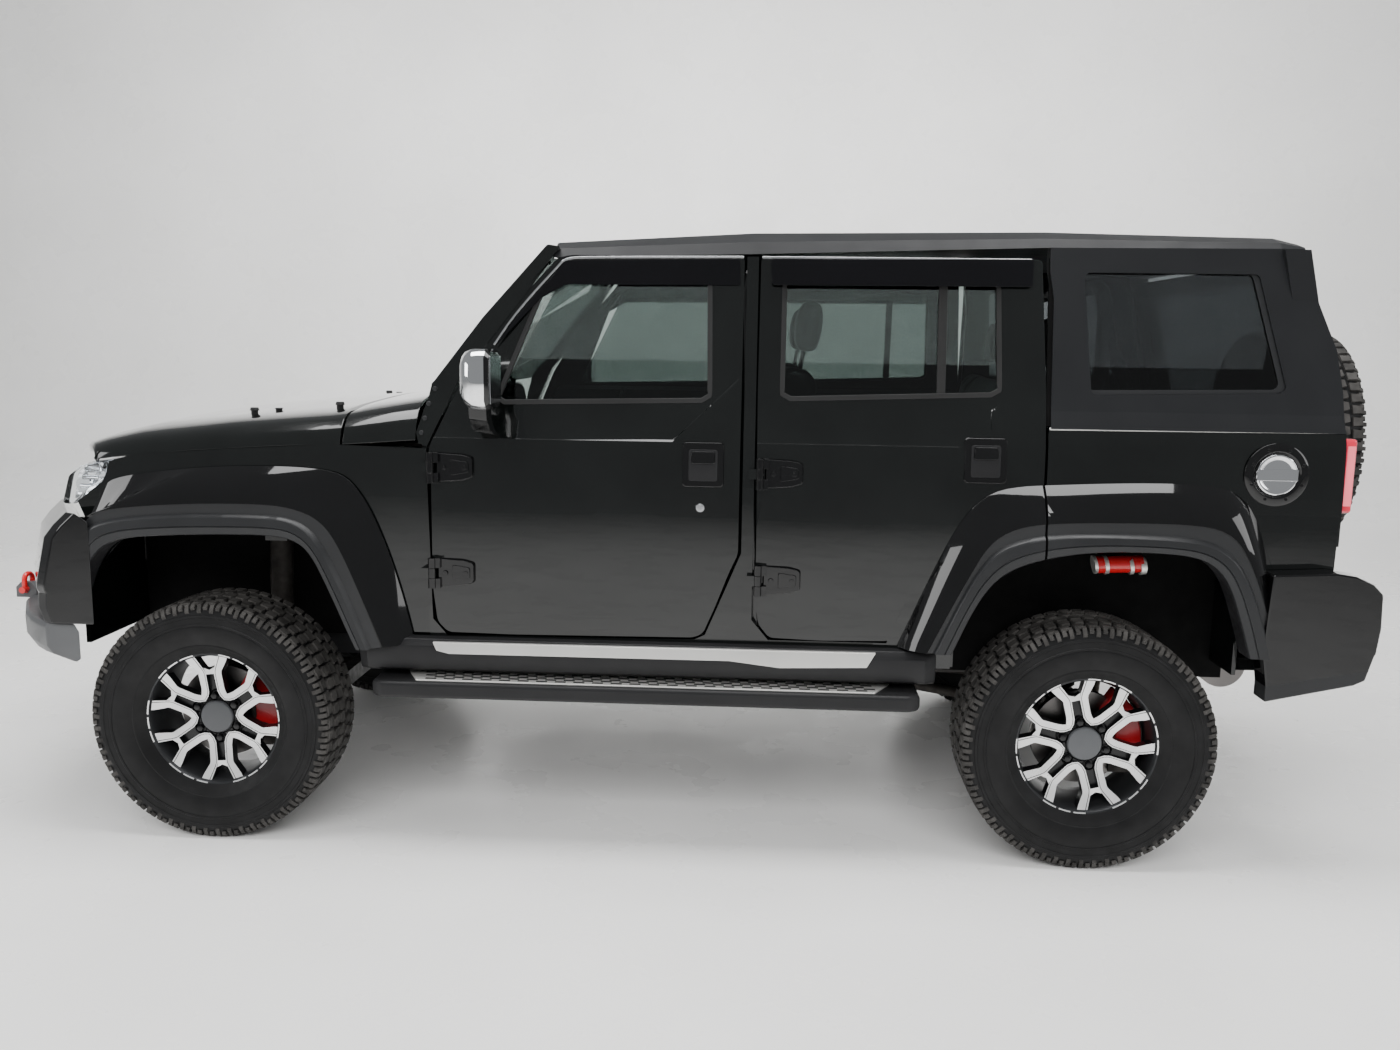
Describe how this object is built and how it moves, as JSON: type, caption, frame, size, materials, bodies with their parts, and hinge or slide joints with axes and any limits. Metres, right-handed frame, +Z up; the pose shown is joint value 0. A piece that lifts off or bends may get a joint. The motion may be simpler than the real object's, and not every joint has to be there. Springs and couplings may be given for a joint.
{
  "type": "off-road car",
  "caption": "Lifted four-door off-road car with opening doors, bonnet and side-hinged tailgate, steered front wheels, side steps and a spare wheel on the tailgate.",
  "frame": {"origin": "centre of the bounding box's base, on the ground", "axes": "+X forward along the length, +Y to the car's left, +Z up"},
  "size_m": [4.6095, 2.184, 1.953],
  "materials": {
    "aluminium_face": "machined face with black pockets",
    "body_black": "gloss black lacquer",
    "chrome_trim": "polished chrome",
    "flare_black": "gloss black moulding with satin lip",
    "frame_black": "satin black chassis paint",
    "glass_clear": "lightly tinted glass",
    "glass_dark": "dark tinted glass",
    "hardtop": "satin dark grey",
    "iron_dark": "dark cast and forged iron",
    "lamp_clear": "clear lamp lens over a bright reflector",
    "lamp_red": "red lamp lens",
    "plastic_black": "fine grained black plastic",
    "seat_cloth": "black seat leather",
    "shackle_red": "red paint",
    "steel_brushed": "brushed stainless steel",
    "steel_grey": "satin grey powder coat",
    "step_metal": "black step with bright tread plate",
    "tyre_rubber": "black tyre rubber"
  },
  "bodies": {
    "body": {"chassis_frame": "frame_black", "body_shell": "body_black", "body_side_left": "body_black", "body_side_right": "body_black", "roof_hardtop": "hardtop", "quarter_windows": "glass_dark", "cowl_panel": "body_black", "front_wings": "body_black", "grille": "plastic_black", "headlamps": "lamp_clear", "front_bumper": "plastic_black", "steel_bar": "steel_grey", "tow_shackles": "shackle_red", "rear_bumper": "plastic_black", "flares_front": "flare_black", "flares_rear": "flare_black", "side_steps": "step_metal", "sill_covers": "plastic_black", "windscreen": "glass_clear", "tail_lamps": "lamp_red", "fuel_filler": "chrome_trim", "front_suspension": "iron_dark", "rear_axle": "iron_dark", "rear_springs": "frame_black", "engine_block": "iron_dark", "propshaft": "iron_dark", "fuel_tank": "plastic_black", "exhaust": "steel_brushed", "dashboard": "plastic_black", "seats_front": "seat_cloth", "seats_rear": "seat_cloth", "roll_bars": "frame_black"},
    "bonnet": {"bonnet": "body_black"},
    "door_front_left": {"door_front_left": "body_black", "glass_front_left": "glass_clear", "mirror_left": "plastic_black"},
    "door_front_right": {"door_front_right": "body_black", "glass_front_right": "glass_clear", "mirror_right": "plastic_black"},
    "door_rear_left": {"door_rear_left": "body_black", "glass_rear_left": "glass_clear", "flare_door_left": "flare_black"},
    "door_rear_right": {"door_rear_right": "body_black", "glass_rear_right": "glass_clear", "flare_door_right": "flare_black"},
    "tailgate": {"tailgate": "body_black", "tailgate_glass": "glass_dark", "spare_tyre": "tyre_rubber", "spare_rim": "aluminium_face"},
    "knuckle_left": {"knuckle_left": "iron_dark"},
    "knuckle_right": {"knuckle_right": "iron_dark"},
    "wheel_front_left": {"tyre_front_left": "tyre_rubber", "rim_front_left": "aluminium_face"},
    "wheel_front_right": {"tyre_front_right": "tyre_rubber", "rim_front_right": "aluminium_face"},
    "wheel_rear_left": {"tyre_rear_left": "tyre_rubber", "rim_rear_left": "aluminium_face"},
    "wheel_rear_right": {"tyre_rear_right": "tyre_rubber", "rim_rear_right": "aluminium_face"}
  },
  "joints": [
    {"name": "steer_left", "type": "hinge", "parent": "body", "child": "knuckle_left", "pos_m": [1.4475, 0.7, 0.388], "axis": [0, 0, 1], "range_deg": [-30, 30]},
    {"name": "steer_right", "type": "hinge", "parent": "body", "child": "knuckle_right", "pos_m": [1.4475, -0.7, 0.388], "axis": [0, 0, 1], "range_deg": [-30, 30]},
    {"name": "spin_front_left", "type": "hinge", "parent": "knuckle_left", "child": "wheel_front_left", "pos_m": [1.4475, 0.805, 0.388], "axis": [0, 1, 0], "continuous": true},
    {"name": "spin_front_right", "type": "hinge", "parent": "knuckle_right", "child": "wheel_front_right", "pos_m": [1.4475, -0.805, 0.388], "axis": [0, 1, 0], "continuous": true},
    {"name": "spin_rear_left", "type": "hinge", "parent": "body", "child": "wheel_rear_left", "pos_m": [-1.2975, 0.805, 0.388], "axis": [0, 1, 0], "continuous": true},
    {"name": "spin_rear_right", "type": "hinge", "parent": "body", "child": "wheel_rear_right", "pos_m": [-1.2975, -0.805, 0.388], "axis": [0, 1, 0], "continuous": true},
    {"name": "door_front_left_hinge", "type": "hinge", "parent": "body", "child": "door_front_left", "pos_m": [0.731, 0.892, 1.044], "axis": [0, 0, -1], "range_deg": [0, 65]},
    {"name": "door_rear_left_hinge", "type": "hinge", "parent": "body", "child": "door_rear_left", "pos_m": [-0.277, 0.892, 1.044], "axis": [0, 0, -1], "range_deg": [0, 65]},
    {"name": "door_front_right_hinge", "type": "hinge", "parent": "body", "child": "door_front_right", "pos_m": [0.731, -0.892, 1.044], "axis": [0, 0, 1], "range_deg": [0, 65]},
    {"name": "door_rear_right_hinge", "type": "hinge", "parent": "body", "child": "door_rear_right", "pos_m": [-0.277, -0.892, 1.044], "axis": [0, 0, 1], "range_deg": [0, 65]},
    {"name": "bonnet_hinge", "type": "hinge", "parent": "body", "child": "bonnet", "pos_m": [1.013, 0, 1.367], "axis": [0, -1, 0], "range_deg": [0, 50]},
    {"name": "tailgate_hinge", "type": "hinge", "parent": "body", "child": "tailgate", "pos_m": [-2.01, -0.692, 1.277], "axis": [0, 0, 1], "range_deg": [0, 90]}
  ],
  "couplings": [
    {"joint": "steer_right", "follows": "steer_left", "ratio": 1}
  ]
}
